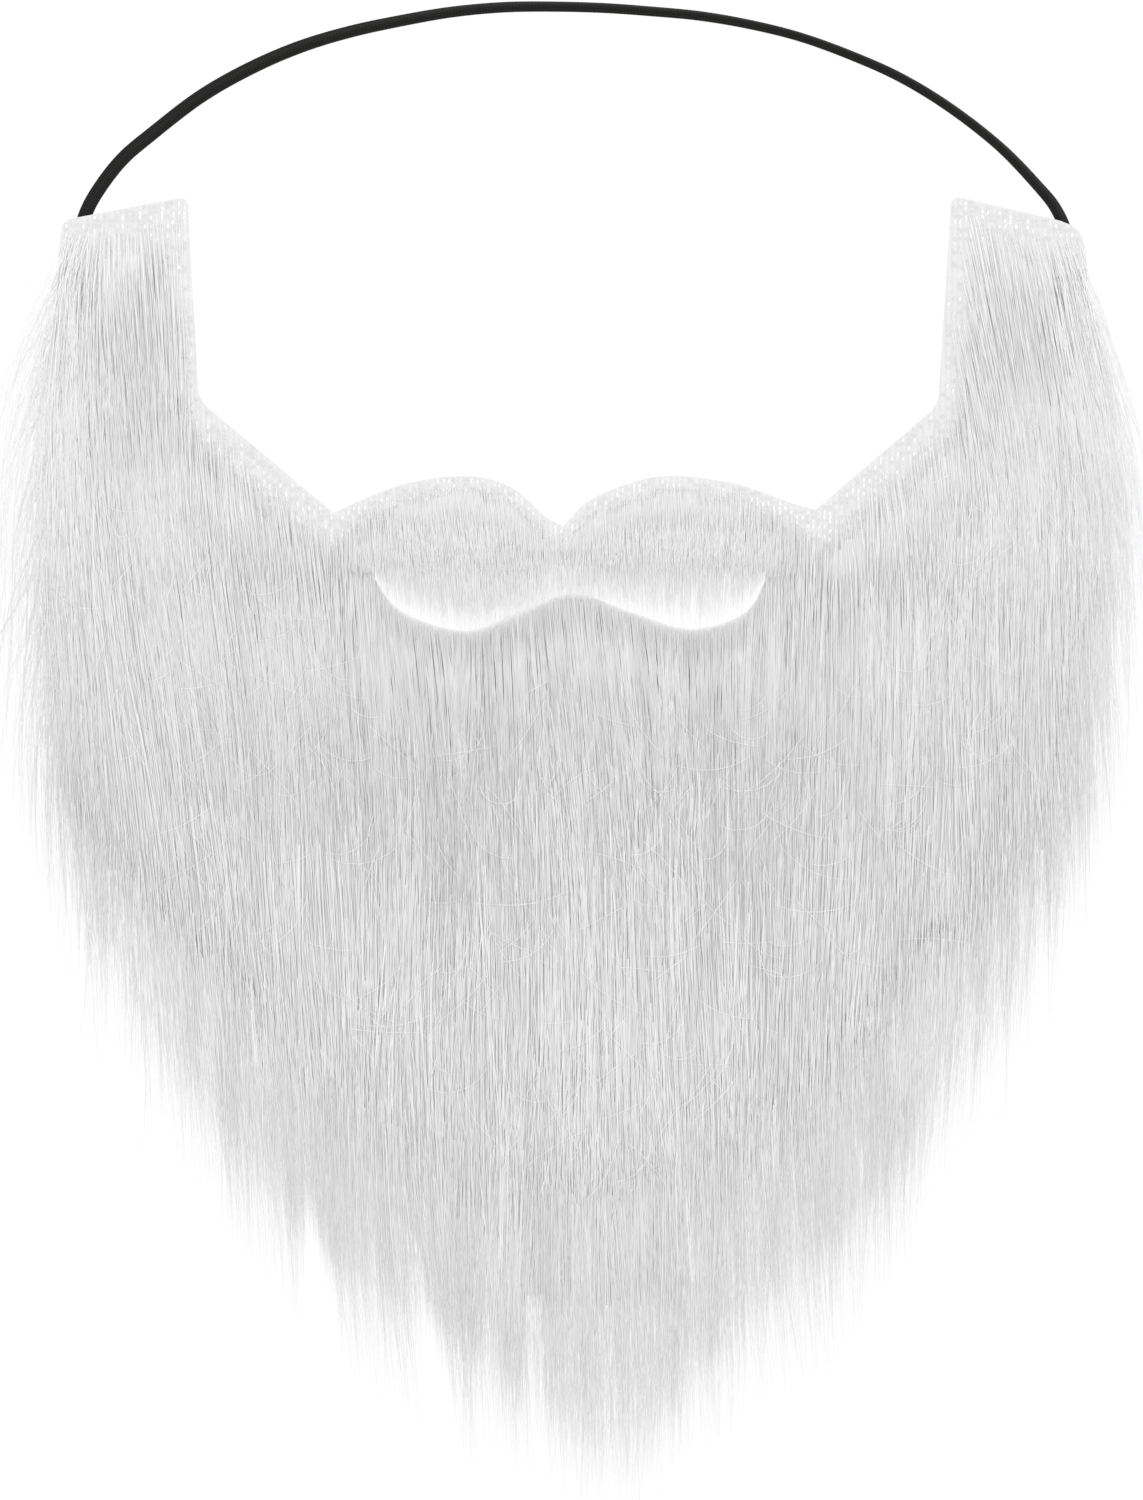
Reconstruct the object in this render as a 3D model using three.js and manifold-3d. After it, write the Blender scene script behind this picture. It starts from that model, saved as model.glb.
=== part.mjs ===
// A white false beard with a moustache, lying on its back with its elastic head cord laid out above it.
// Millimetres, +Z up, +Y towards the sideburn tops. The origin is under the middle of the beard's box.

import * as THREE from 'three';
import { mergeVertices } from 'three/addons/utils/BufferGeometryUtils.js';
import Module from 'manifold-3d';

const wasm = await Module();
wasm.setup();

// Cloth and cord
const CLOTH_THICKNESS = 1.2;
const CLEARANCE = 0.3;
const CORD_DIAMETER = 2.8;
const CORD_SIDES = 8;
const CORD_STEPS = 54;
const CURVE_STEPS = 3;

// The cord's ends are sewn under the sideburn tops and prop them off the table.
const LIFT_START = 112;
const LIFT_END = 133;
const LIFT_HEIGHT = CORD_DIAMETER + 2 * CLEARANCE;
const LIFT_STEPS = 6;

// Cut of the cloth. The mouth hole's lower edge has two lobes, and the moustache strip runs above it.
const LEFT_SIDEBURN = { outer: [-118.1, 144.8], inner: [-88.9, 150.3], foot: [-86.5, 103.5], lip: [-55.2, 77.3] };
const RIGHT_SIDEBURN = { outer: [118.8, 143.4], inner: [87.9, 150.6], foot: [85.1, 102.3], lip: [56.6, 78.0] };
const CORNER_RADIUS = { leftOuter: 3, leftInner: 2, rightInner: 2.5, rightOuter: 6, foot: 3 };
const MOUSTACHE_LEFT = [[-39.7, 83.7], [-24.6, 85.8], [-14.2, 83.3], [-6.0, 76.4]];
const MOUSTACHE_DIP = [-1.9, 74.2];
const MOUSTACHE_RIGHT = [[4.4, 80.3], [16.0, 84.9], [25.3, 85.8], [39.2, 83.7], [50.8, 79.6]];
const LOWER_LIP = [
  [-46.2, 62.9], [-39.5, 54.5], [-24.6, 49.9], [-11.8, 54.3], [0.5, 58.5],
  [13.7, 54.3], [27.6, 50.3], [40.0, 54.0], [45.0, 61.7],
];
const UPPER_LIP = [[40, 65.4], [0, 65.0], [-41, 65.6]];
const CHIN_EDGE = [
  [121.5, 80], [113, 28], [88, -16], [50, -55], [2, -76], [-48, -56], [-89, -17], [-115, 28], [-122, 80],
];

// How far the pile's roots stay inside the cloth's edges, and the room that the pile leaves round the cloth
const INSET_TOP = 6;
const INSET_SIDE = 2;
const INSET_CHEEK = 6;
const INSET_LIP = 1.5;
const INSET_MOUSTACHE = 4.5;
const EDGE_MARGIN = 1.004;

// The beard's pile, as strips of combed locks that lie side by side and overlap
const STRIP_COUNT = 24;
const STRIP_SPAN = 113;
const STRIP_OVERLAP = 1.4;
const STRIP_WALL = 0.8;
const STRIP_STAGGER = 0.045;
const PILE_DEPTH = 12.5;
const SIDE_DEPTH = 0.72;
const SIDE_BOW = 13.5;
const CONVERGE = 0.93;
const ROOT_OVERRUN = 7;
const TIP_WOBBLE = 7;
const FLOOR_CLEARANCE = 0.2;

// One strip of the beard from root to tip. Each pair of near sections is a lock's tip lying on the next lock.
const BEARD_SECTIONS = [
  { at: 0.00, width: 1.00, height: 0.06 },
  { at: 0.10, width: 1.00, height: 0.52 },
  { at: 0.29, width: 1.00, height: 0.94 },
  { at: 0.31, width: 1.00, height: 0.80 },
  { at: 0.52, width: 1.00, height: 1.00 },
  { at: 0.54, width: 0.97, height: 0.84 },
  { at: 0.73, width: 0.90, height: 0.72 },
  { at: 0.75, width: 0.84, height: 0.56 },
  { at: 0.90, width: 0.52, height: 0.24 },
  { at: 1.00, width: 0.10, height: 0.07 },
];

// Where the hair's tips end, from left to right across the beard
const TIP_EDGE = [
  [-118, -22], [-108, -50], [-97, -71], [-72, -97], [-52, -118], [-33, -134], [-4, -146],
  [13.5, -150.2], [33, -143], [58, -119], [77, -95], [92, -70], [104, -47], [118, -18],
];

// Locks that stand out at each side. level is the root's height on the cloth, out its distance from the middle.
const SIDE_LOCKS = [
  { level: 118, out: 118, length: 40, lean: 16 },
  { level: 97, out: 120, length: 38, lean: 16 },
  { level: 77, out: 121, length: 36, lean: 16 },
  { level: 57, out: 121, length: 36, lean: 15 },
  { level: 37, out: 119, length: 36, lean: 14 },
  { level: 16, out: 116, length: 36, lean: 8 },
];
const SIDE_LOCK_WIDTH = 10;
const SIDE_LOCK_DEPTH = 4.5;

// A single lock from root to tip, at the beard's sides and along the moustache
const LOCK_SECTIONS = [
  { at: 0.00, width: 0.90, height: 0.30 },
  { at: 0.25, width: 1.00, height: 0.85 },
  { at: 0.50, width: 1.00, height: 1.00 },
  { at: 0.78, width: 0.70, height: 0.62 },
  { at: 1.00, width: 0.10, height: 0.10 },
];

// The moustache's locks hang part of the way over the mouth hole.
const MOUSTACHE_COUNT = 11;
const MOUSTACHE_SPAN = 41;
const MOUSTACHE_TIPS = 58.8;
const MOUSTACHE_DEPTH = 4.6;
const MOUSTACHE_OVERRUN = 4;

// The cord's middle line on the table, from under the left sideburn to under the right one
const CORD_ROUTE = [
  [-113.9, 135.5], [-113.9, 141.1], [-112.5, 146.9], [-109.3, 152.7], [-104.2, 159.2], [-97.7, 164.8],
  [-86.1, 173.7], [-74.5, 180.3], [-62.9, 185.3], [-51.3, 188.8], [-39.7, 191.3], [-28.1, 193.3],
  [-16.5, 194.4], [-6.0, 194.6], [6.7, 194.3], [18.3, 193.5], [29.9, 192.4], [41.5, 190.4],
  [53.1, 187.5], [64.7, 183.3], [76.3, 178.1], [87.9, 171.0], [99.5, 161.9], [108.8, 152.2],
  [112.5, 147.3], [114.8, 141.5], [115.1, 135.5],
];

// Materials
const KNIT = { color: 0xe9e9e9, roughness: 0.9, metalness: 0 };
const PILE = { color: 0xd8d8d8, roughness: 0.7, metalness: 0 };
const ELASTIC = { color: 0x2b2a28, roughness: 0.8, metalness: 0 };

// How far tool shapes reach, well past the beard
const REACH = 200;

const { clamp, degToRad, lerp, smoothstep } = THREE.MathUtils;
const points = (list) => list.map(([x, y]) => new THREE.Vector2(x, y));

// A repeatable number from -0.5 to 0.5 for each strip, so that no two end alike
function wobble(seed) {
  const wave = Math.sin(seed * 12.9898) * 43758.5453;
  return wave - Math.floor(wave) - 0.5;
}

// How high the cloth stands off the table
function clothLift(y) {
  return LIFT_HEIGHT * smoothstep(y, LIFT_START, LIFT_END);
}

function solidOf(geometry) {
  const plain = geometry.clone();
  plain.deleteAttribute('normal');
  plain.deleteAttribute('uv');
  const welded = mergeVertices(plain);
  const mesh = new wasm.Mesh({
    numProp: 3,
    vertProperties: new Float32Array(welded.attributes.position.array),
    triVerts: new Uint32Array(welded.index.array),
  });
  return new wasm.Manifold(mesh);
}

function geometryOf(solid) {
  const mesh = solid.getMesh();
  const geometry = new THREE.BufferGeometry();
  geometry.setAttribute('position', new THREE.BufferAttribute(mesh.vertProperties, 3));
  geometry.setIndex(new THREE.BufferAttribute(mesh.triVerts, 1));
  geometry.computeVertexNormals();
  return geometry;
}

// A tall prism over a flat outline
function prism(shape) {
  const geometry = new THREE.ExtrudeGeometry(shape, {
    depth: 2 * REACH,
    bevelEnabled: false,
    curveSegments: CURVE_STEPS,
  });
  geometry.translate(0, 0, -REACH);
  return solidOf(geometry);
}

// A layer over the whole table, from low to high above it, raised with the cloth at the sideburn tops
function layer(low, high) {
  const lower = [[-REACH, low]];
  for (let i = 0; i <= LIFT_STEPS; i += 1) {
    const y = lerp(LIFT_START, LIFT_END, i / LIFT_STEPS);
    lower.push([y, low + clothLift(y)]);
  }
  lower.push([REACH, low + LIFT_HEIGHT]);
  const upper = lower.map(([y, z]) => [y, z + high - low]).reverse();
  const profile = new THREE.Shape(points([...lower, ...upper]));
  const geometry = new THREE.ExtrudeGeometry(profile, { depth: 2 * REACH, bevelEnabled: false });
  geometry.translate(0, 0, -REACH);
  geometry.applyMatrix4(new THREE.Matrix4().makeBasis(
    new THREE.Vector3(0, 1, 0),
    new THREE.Vector3(0, 0, 1),
    new THREE.Vector3(1, 0, 0),
  ));
  return solidOf(geometry);
}

// A line towards corner, rounded off towards next
function roundedTo(path, corner, next, radius) {
  const turn = new THREE.Vector2(...corner);
  const before = path.currentPoint.clone().sub(turn).setLength(radius).add(turn);
  const after = new THREE.Vector2(...next).sub(turn).setLength(radius).add(turn);
  path.lineTo(before.x, before.y);
  path.quadraticCurveTo(turn.x, turn.y, after.x, after.y);
}

function mouthHole() {
  const hole = new THREE.Path();
  hole.moveTo(...LOWER_LIP[0]);
  hole.splineThru(points(LOWER_LIP.slice(1)));
  hole.splineThru(points([...UPPER_LIP, LOWER_LIP[0]]));
  return hole;
}

// The outline of the cloth, scaled about the origin by margin
function clothOutline(margin) {
  const at = ([x, y]) => [x * margin, y * margin];
  const left = Object.fromEntries(Object.entries(LEFT_SIDEBURN).map(([name, spot]) => [name, at(spot)]));
  const right = Object.fromEntries(Object.entries(RIGHT_SIDEBURN).map(([name, spot]) => [name, at(spot)]));
  const chin = CHIN_EDGE.map(at);
  const topMiddle = [(left.outer[0] + left.inner[0]) / 2, (left.outer[1] + left.inner[1]) / 2];
  const outline = new THREE.Shape();
  outline.moveTo(...topMiddle);
  roundedTo(outline, left.inner, left.foot, CORNER_RADIUS.leftInner);
  roundedTo(outline, left.foot, left.lip, CORNER_RADIUS.foot);
  outline.lineTo(...left.lip);
  outline.splineThru(points([...MOUSTACHE_LEFT, MOUSTACHE_DIP].map(at)));
  outline.splineThru(points([...MOUSTACHE_RIGHT.map(at), right.lip]));
  roundedTo(outline, right.foot, right.inner, CORNER_RADIUS.foot);
  roundedTo(outline, right.inner, right.outer, CORNER_RADIUS.rightInner);
  roundedTo(outline, right.outer, chin[0], CORNER_RADIUS.rightOuter);
  outline.splineThru(points(chin));
  roundedTo(outline, left.outer, topMiddle, CORNER_RADIUS.leftOuter);
  return outline;
}

function backingSolid() {
  const outline = clothOutline(1);
  outline.holes.push(mouthHole());
  return prism(outline).intersect(layer(0, CLOTH_THICKNESS));
}

// The edge that the beard's roots follow: sideburn tops, cheeks and lower lip, from left to right
function beardRootEdge() {
  const { outer: leftOuter, inner: leftInner, foot: leftFoot, lip: leftLip } = LEFT_SIDEBURN;
  const { outer: rightOuter, inner: rightInner, foot: rightFoot, lip: rightLip } = RIGHT_SIDEBURN;
  return [
    [leftOuter[0], leftOuter[1] - INSET_TOP],
    [leftInner[0] - INSET_SIDE, leftInner[1] - INSET_TOP],
    [leftFoot[0] - INSET_SIDE, leftFoot[1] - INSET_CHEEK],
    [leftLip[0], leftLip[1] - INSET_CHEEK],
    ...LOWER_LIP.map(([x, y]) => [x, y - INSET_LIP]),
    [rightLip[0], rightLip[1] - INSET_CHEEK],
    [rightFoot[0] + INSET_SIDE, rightFoot[1] - INSET_CHEEK],
    [rightInner[0] + INSET_SIDE, rightInner[1] - INSET_TOP],
    [rightOuter[0], rightOuter[1] - INSET_TOP],
  ];
}

// The edge that the moustache's roots follow
function moustacheRootEdge() {
  const top = [LEFT_SIDEBURN.lip, ...MOUSTACHE_LEFT, MOUSTACHE_DIP, ...MOUSTACHE_RIGHT, RIGHT_SIDEBURN.lip];
  return top.map(([x, y]) => [x, y - INSET_MOUSTACHE]);
}

// The height of a left-to-right edge at x
function edgeAt(edge, x) {
  const next = Math.max(1, edge.findIndex(([px]) => px >= x));
  const [[x0, y0], [x1, y1]] = [edge[next - 1], edge[next]];
  return lerp(y0, y1, clamp((x - x0) / (x1 - x0), 0, 1));
}

// Everything above a left-to-right edge, where no pile grows
function bareSpace(edge) {
  const first = edge[0];
  const last = edge[edge.length - 1];
  return prism(new THREE.Shape(points([
    [-REACH, first[1]], ...edge, [REACH, last[1]], [REACH, REACH], [-REACH, REACH],
  ])));
}

// The space of the cloth itself with its clearance, which the pile keeps out of
function clothSpace() {
  return prism(clothOutline(EDGE_MARGIN)).intersect(layer(-2 * LIFT_HEIGHT, CLOTH_THICKNESS + CLEARANCE));
}

// A strip of pile from start to end, bowed sideways, with a ridged top over a flat underside. Its top comes down
// to endBase above the table at its tip, and stagger shifts its lock tips along it.
function strip({ sections, start, end, bow = 0, width, depth, endBase = 0, stagger = 0 }) {
  const corners = [[0, 1], [0.5, STRIP_WALL], [0.5, 0], [-0.5, 0], [-0.5, STRIP_WALL]];
  const last = sections.length - 1;
  const geometry = new THREE.CylinderGeometry(1, 1, 1, corners.length, last);
  const place = geometry.attributes.position;
  const from = new THREE.Vector2(...start);
  const to = new THREE.Vector2(...end);
  const across = to.clone().sub(from).normalize().rotateAround(new THREE.Vector2(), Math.PI / 2);
  for (let i = 0; i < place.count; i += 1) {
    const row = Math.round((0.5 - place.getY(i)) * last);
    const section = sections[row];
    const s = section.at + (row > 0 && row < last ? stagger : 0);
    const onRim = Math.hypot(place.getX(i), place.getZ(i)) > 0.5;
    const turn = Math.atan2(place.getX(i), place.getZ(i)) / (2 * Math.PI);
    const corner = Math.round((turn + 1) * corners.length) % corners.length;
    const [side, up] = onRim ? corners[corner] : [0, STRIP_WALL / 2];
    const spot = from.clone().lerp(to, s);
    spot.x += bow * Math.sin(Math.PI * s);
    const base = up > 0 ? lerp(CLOTH_THICKNESS + CLEARANCE, endBase, s) + clothLift(spot.y) : 0;
    spot.addScaledVector(across, side * section.width * width);
    place.setXYZ(i, spot.x, spot.y, FLOOR_CLEARANCE + base + section.height * depth * up);
  }
  return solidOf(geometry);
}

function beardStrips() {
  const roots = beardRootEdge();
  const spacing = 2 * STRIP_SPAN / (STRIP_COUNT - 1);
  const strips = [];
  for (let i = 0; i < STRIP_COUNT; i += 1) {
    const share = lerp(-1, 1, i / (STRIP_COUNT - 1));
    const x = STRIP_SPAN * share;
    const tip = x * CONVERGE;
    strips.push(strip({
      sections: BEARD_SECTIONS,
      start: [x, edgeAt(roots, x) + ROOT_OVERRUN],
      end: [tip, edgeAt(TIP_EDGE, tip) + TIP_WOBBLE * ((i + 1) % 2) * (wobble(i) + 0.5)],
      bow: SIDE_BOW * share * Math.abs(share),
      width: spacing * STRIP_OVERLAP,
      depth: PILE_DEPTH * lerp(1, SIDE_DEPTH, share ** 4),
      stagger: STRIP_STAGGER * (i % 2 ? 1 : -1),
    }));
  }
  return strips;
}

function sideLocks() {
  const locks = [];
  for (const { level, out, length, lean } of SIDE_LOCKS) {
    const outward = Math.sin(degToRad(lean)) * length;
    const down = Math.cos(degToRad(lean)) * length;
    for (const side of [-1, 1]) {
      locks.push(strip({
        sections: LOCK_SECTIONS,
        start: [side * out, level],
        end: [side * (out + outward), level - down],
        width: SIDE_LOCK_WIDTH,
        depth: SIDE_LOCK_DEPTH,
      }));
    }
  }
  return locks;
}

function moustacheLocks() {
  const roots = moustacheRootEdge();
  const spacing = 2 * MOUSTACHE_SPAN / (MOUSTACHE_COUNT - 1);
  const locks = [];
  for (let i = 0; i < MOUSTACHE_COUNT; i += 1) {
    const x = lerp(-MOUSTACHE_SPAN, MOUSTACHE_SPAN, i / (MOUSTACHE_COUNT - 1));
    locks.push(strip({
      sections: LOCK_SECTIONS,
      start: [x, edgeAt(roots, x) + MOUSTACHE_OVERRUN],
      end: [x, MOUSTACHE_TIPS],
      width: spacing * STRIP_OVERLAP,
      depth: MOUSTACHE_DEPTH,
      endBase: CLOTH_THICKNESS + CLEARANCE,
    }));
  }
  return locks;
}

// Strips fused into one body, cut back to their root edge and to the top of the cloth
function pileSolid(strips, rootEdge) {
  const pile = strips.slice(1).reduce((body, next) => body.add(next), strips[0]);
  return pile.subtract(bareSpace(rootEdge)).subtract(clothSpace());
}

function cordGeometry() {
  const route = CORD_ROUTE.map(([x, y]) => new THREE.Vector3(x, y, CORD_DIAMETER / 2));
  const corners = Array.from({ length: CORD_SIDES }, (_, i) => {
    const angle = 2 * Math.PI * (i + 0.5) / CORD_SIDES;
    return new THREE.Vector2(Math.cos(angle), Math.sin(angle)).multiplyScalar(CORD_DIAMETER / 2);
  });
  return new THREE.ExtrudeGeometry(new THREE.Shape(corners), {
    steps: CORD_STEPS,
    bevelEnabled: false,
    extrudePath: new THREE.CatmullRomCurve3(route),
  });
}

function piece(name, geometry, finish) {
  const mesh = new THREE.Mesh(geometry, new THREE.MeshStandardMaterial(finish));
  mesh.name = name;
  return mesh;
}

const beard = new THREE.Group();
beard.add(
  piece('backing', geometryOf(backingSolid()), KNIT),
  piece('beard_fur', geometryOf(pileSolid([...beardStrips(), ...sideLocks()], beardRootEdge())), PILE),
  piece('moustache_fur', geometryOf(pileSolid(moustacheLocks(), moustacheRootEdge())), PILE),
  piece('elastic_cord', cordGeometry(), ELASTIC),
);

export default beard;
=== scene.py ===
import bpy
import numpy as np
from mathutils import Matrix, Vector


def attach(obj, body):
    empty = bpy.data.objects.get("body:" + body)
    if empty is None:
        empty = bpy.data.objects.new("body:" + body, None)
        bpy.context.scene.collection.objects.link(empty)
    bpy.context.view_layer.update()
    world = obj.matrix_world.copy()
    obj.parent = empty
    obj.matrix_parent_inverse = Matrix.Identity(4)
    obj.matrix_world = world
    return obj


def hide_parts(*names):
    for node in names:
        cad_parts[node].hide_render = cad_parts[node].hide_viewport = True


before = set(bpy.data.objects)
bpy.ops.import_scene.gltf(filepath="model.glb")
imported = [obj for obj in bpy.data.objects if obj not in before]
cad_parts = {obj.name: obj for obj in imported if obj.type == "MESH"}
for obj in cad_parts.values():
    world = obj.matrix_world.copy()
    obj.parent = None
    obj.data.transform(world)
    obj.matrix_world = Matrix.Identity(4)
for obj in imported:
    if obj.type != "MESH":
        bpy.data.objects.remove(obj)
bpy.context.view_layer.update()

MM = 0.001
FULL_TURN = 6.2832
SEED = 7

# The frame that the camera takes in, in mm on the floor
VIEW_HEIGHT = 348.0
VIEW_MIDDLE = (0.0, 22.3)
CAMERA_HEIGHT = 1600.0
SENSOR = 36.0

# Sizes of the cloth and of the cord, in mm
CLOTH_THICKNESS = 1.2
LIFT_START, LIFT_END, LIFT_HEIGHT = 112.0, 133.0, 3.4
CORD_WIDTH, CORD_THICKNESS = 3.1, 1.9
# How far the cord's thick ribs stay off the floor, and how much more its tails do under the cloth
CORD_CLEAR, TAIL_RISE = 0.2, 0.4
TAIL_RUN = (6.0, 22.0)
# Rings along the cord and sides round it, its ribs, how deep they are, and how squarely it is rounded
CORD_RINGS, CORD_SIDES = 210, 48
CORD_RIBS, RIB_DEPTH, CORD_ROUNDING = 12, 0.055, 0.8
# Threads of the cord's braid, round it and along it
BRAID_AROUND, BRAID_ALONG = 24, 190

# The cut of the ground cloth, in mm
LEFT_SIDEBURN = {"outer": (-118.1, 144.8), "inner": (-88.9, 150.3), "foot": (-86.5, 103.5), "lip": (-55.2, 77.3)}
RIGHT_SIDEBURN = {"outer": (118.8, 143.4), "inner": (87.9, 150.6), "foot": (85.1, 102.3), "lip": (56.6, 78.0)}
CORNER_RADIUS = {"left_outer": 3.0, "left_inner": 2.0, "right_inner": 2.5, "right_outer": 6.0, "foot": 3.0}
MOUSTACHE_LEFT = [(-39.7, 83.7), (-24.6, 85.8), (-14.2, 83.3), (-6.0, 76.4)]
MOUSTACHE_DIP = (-1.9, 74.2)
MOUSTACHE_RIGHT = [(4.4, 80.3), (16.0, 84.9), (25.3, 85.8), (39.2, 83.7), (50.8, 79.6)]
LOWER_LIP = [
    (-46.2, 62.9), (-39.5, 54.5), (-24.6, 49.9), (-11.8, 54.3), (0.5, 58.5),
    (13.7, 54.3), (27.6, 50.3), (40.0, 54.0), (45.0, 61.7),
]
UPPER_LIP = [(40.0, 65.4), (0.0, 65.0), (-41.0, 65.6)]
CHIN_EDGE = [
    (121.5, 80.0), (113.0, 28.0), (88.0, -16.0), (50.0, -55.0), (2.0, -76.0),
    (-48.0, -56.0), (-89.0, -17.0), (-115.0, 28.0), (-122.0, 80.0),
]

# How far the combed pile spreads round the cloth, in mm
PILE_OUTLINE = [
    (-119.5, 146.0), (-88.0, 151.0), (-85.5, 103.0), (-55.0, 77.5), (0.0, 84.0), (56.0, 78.5), (84.0, 102.0),
    (87.0, 151.0), (120.0, 144.0), (124.6, 126.7), (129.9, 103.5), (132.2, 80.3), (132.0, 57.1), (127.1, 33.9),
    (125.3, 10.7), (119.7, -12.5), (105.3, -35.7), (97.4, -58.9), (85.1, -82.1), (65.7, -105.3), (49.4, -128.5),
    (32.5, -140.0), (14.0, -150.5), (-19.0, -140.0), (-44.3, -128.5), (-66.1, -105.3), (-87.5, -82.1),
    (-98.8, -58.9), (-111.4, -35.7), (-120.9, -12.5), (-129.5, 10.7), (-130.6, 33.9), (-132.5, 57.1),
    (-131.5, 80.3), (-129.2, 103.5), (-124.1, 126.7),
]

# The line along which the head elastic lies, in mm
CORD_ROUTE = [
    (-113.9, 135.5), (-113.9, 141.1), (-112.5, 146.9), (-109.3, 152.7), (-104.2, 159.2), (-97.7, 164.8),
    (-86.1, 173.7), (-74.5, 180.3), (-62.9, 185.3), (-51.3, 188.8), (-39.7, 191.3), (-28.1, 193.3), (-16.5, 194.4),
    (-6.0, 194.6), (6.7, 194.3), (18.3, 193.5), (29.9, 192.4), (41.5, 190.4), (53.1, 187.5), (64.7, 183.3),
    (76.3, 178.1), (87.9, 171.0), (99.5, 161.9), (108.8, 152.2), (112.5, 147.3), (114.8, 141.5), (115.1, 135.5),
]
# How far the flat elastic is turned on edge, in degrees, at shares of its length
CORD_TURN = {"share": [0.0, 0.12, 0.3, 0.5, 0.7, 0.88, 1.0], "degrees": [5.0, 8.0, 40.0, 62.0, 72.0, 66.0, 34.0]}

# How the pile is combed, in degrees from straight down, plus to the right: the body's middle, how much it draws in
# from each side, the share of that low down, the sideburns' middle and how much they fan out
COMB = {"body": 3.0, "draw_in": 6.0, "low_share": 0.4, "sideburn": 7.5, "fan": 4.0}
HALF_WIDTH = 113.0
# How far hairs lean from the way that they are combed, in degrees, by clump and by hair
LEAN = {"big": 1.8, "small": 1.0, "hair": 0.6, "wisp": 2.2, "bend": 1.2}
BEND_RUN = 90.0
# How much the hairs of a clump draw together towards their ends, and over how many mm
GATHER = {"high": 0.08, "lower": 0.3, "hair": 0.3, "wisp": 0.1}
GATHER_RUN = 72.0
# How far hairs at the outer edges flare out, in degrees, and in what band and over what run, in mm
FLARE = {"left": 47.0, "right": 26.0, "band": 14.0, "run": 28.0}
FLARE_SPREAD = (0.1, 1.15)
# How wide the big and the small clumps are, in mm
CLUMP_SIZES = (7.5, 2.1)

# How long the pile of the beard is, in mm
PILE_LENGTH, PILE_SPREAD, CLUMP_SPREAD = 62.0, 12.0, 2.0
PILE_SHORTEST, PILE_LONGEST, STUBBLE = 20.0, 99.0, 4.0
CHIN_MIDDLE, CHIN_HALF, CHIN_EXTRA = 5.0, 36.0, 20.0
WISP_SHARE, WISP_EXTRA = 0.22, 15.0
LEFT_EXTRA, LOOSE_EXTRA = 6.0, 20.0
# How far its ends may reach past PILE_OUTLINE, and the lowest that one reaches
WISP_REACH = {"left": 10.5, "right": 5.5, "below": 15.0}
LOWEST_TIP = -168.0
# How much shorter than that the hairs are, by the side and at the bottom: the middle and the spread
THINNING = {"side": (2.5, 3.0), "below": (24.0, 12.0)}
# The same for loose wisps, the most of it, and how fast they thin out at the bottom
WISP_THINNING = {"side": 8.0, "below": 46.0}
THINNING_RATE = 3.0
# How much less hairs are thinned at the tip of the chin, which is narrower
TIP_HALF, TIP_FULLER, TIP_WISPS_FULLER = 26.0, 0.4, 0.45
# How far hairs reach into the gaps between locks: the middle and the spread
GAP_SPREAD = (1.0, 6.0)

# How deep the pile of the beard is, in mm
PILE_DEPTH = 10.6
PILE_SLOPE = 24.0
PILE_SINK, SINK_SPREAD = 0.3, {"big": 0.08, "small": 0.06}
RISE_RUN = 7.0
HAIR_LIFT = 0.2
LIP_STEEPNESS = 0.8
# How far the underfur stays below the face of the pile, how ragged its foot is, and the cells that it is made of
CORE_SINK, CORE_SINK_SHARE = 0.42, 0.22
RAGGED_FOOT = 8.0
CORE_CELL = 2.4
CORE_BOX = (-134.0, -152.0), (134.0, 150.0)
# Straight runs of hair past a point: how far they start above it and end below it
STRAIGHT_RUNS = [(4.0, 16.0), (10.0, 10.0), (16.0, 4.0)]

# The hairs of the beard: half their width in mm, how flat they are, and how that varies
HAIR_RADIUS = 0.14
HAIR_FLATNESS = 0.13
HAIR_VARIES = (0.7, 1.25)
WISP_THICKNESS = 0.65
# Their shades, from 0 dark to 1 light: the middle, the spread by clump and hair, and what a place adds, which is
# painted light on the flanks and upper edges and painted shade at the lip and cheeks
SHADE = {"middle": 0.435, "big": 0.045, "small": 0.05, "hair": 0.05,
         "sideburns": 0.07, "flanks_painted_light": 0.1, "lip": 0.14, "cheeks": 0.06, "upper_edges_painted_light": 0.22}
SHADE_LIMITS = 0.03, 0.97
# Where hairs are rooted: how far apart, in a band how wide along an edge, how far from the upper edges they start,
# how thick they are, how much shorter and more uneven, and whether they are fine loose wisps
ROOTS = {
    "all_over": {"spacing": 1.9, "start": (3.0, 12.0), "thick": 1.0, "short": 0.0, "uneven": 0.0, "wispy": 0},
    "lip": {"spacing": 0.6, "band": 4.0, "start": (0.4, 3.5),
            "thick": 0.65, "short": 0.0, "uneven": 0.0, "wispy": 0},
    "lip_rim": {"spacing": 0.34, "band": 0.9, "start": (0.4, 3.5),
                "thick": 0.6, "short": 20.0, "uneven": 4.0, "wispy": 0},
    "outer": {"spacing": 0.8, "band": 8.0, "start": (0.4, 3.0),
              "thick": 0.5, "short": 0.0, "uneven": 4.0, "wispy": 1},
    "upper": {"spacing": 0.94, "band": 20.0, "start": (0.8, 8.0),
              "thick": 0.58, "short": 4.0, "uneven": 4.0, "wispy": 0},
    "chin": {"spacing": 0.74, "band": 10.0, "start": (0.4, 3.0),
             "thick": 0.5, "short": -6.0, "uneven": 4.0, "wispy": 1},
}
CHIN_ROOTS_HALF = 82.0
# The height that parts the sideburns from the cheeks, and half the width of the chin between the cheeks
CHEEK_TOP, CHIN_PART_HALF = 62.0, 32.0
# Gaps between the locks at the lower left, in mm
LOCK_GAPS = [
    [(-61.0, -84.5), (-53.5, -108.0), (-63.5, -108.0)],
    [(-33.0, -110.0), (-26.5, -131.0), (-35.5, -131.0)],
]
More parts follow.
